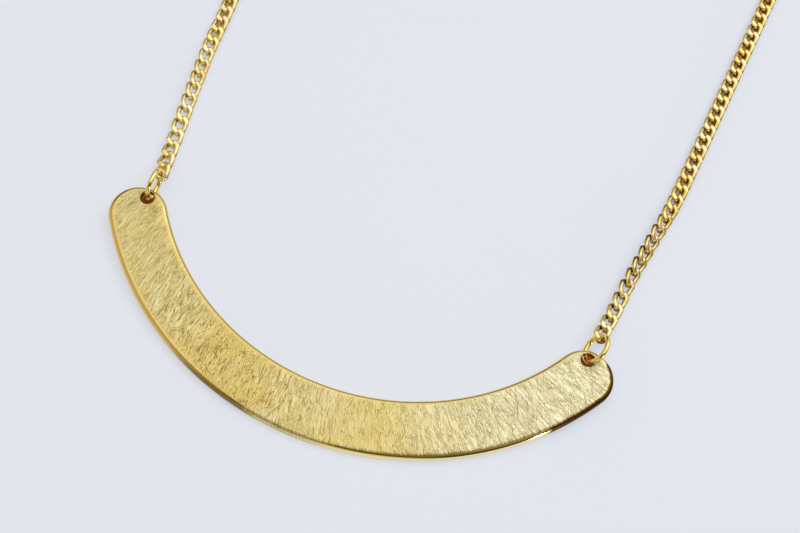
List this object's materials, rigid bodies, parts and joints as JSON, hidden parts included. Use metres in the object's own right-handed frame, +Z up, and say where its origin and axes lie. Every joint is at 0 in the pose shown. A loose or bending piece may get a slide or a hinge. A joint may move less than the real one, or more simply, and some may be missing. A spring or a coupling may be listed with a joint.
{
  "type": "bar pendant necklace",
  "caption": "Brass necklace: a flat crescent bar with rounded ends, hung by jump rings in its end holes from a fine curb chain, laid flat as a closed loop with a plain barrel clasp.",
  "frame": {"origin": "centre of the footprint, on the surface that the necklace lies on", "axes": "+Z up from that surface, +Y from the bar towards the clasp, +X to the right as seen from the bar's side"},
  "size_m": [0.0964, 0.1652, 0.0052],
  "materials": {
    "bar": "brushed face with a polished rounded border",
    "rings": "polished",
    "chain": "polished",
    "clasp": "polished"
  },
  "bodies": {
    "root": {"bar": "bar", "ring_left": "rings", "ring_right": "rings", "chain_left": "chain", "chain_right": "chain", "clasp": "clasp"}
  },
  "joints": []
}
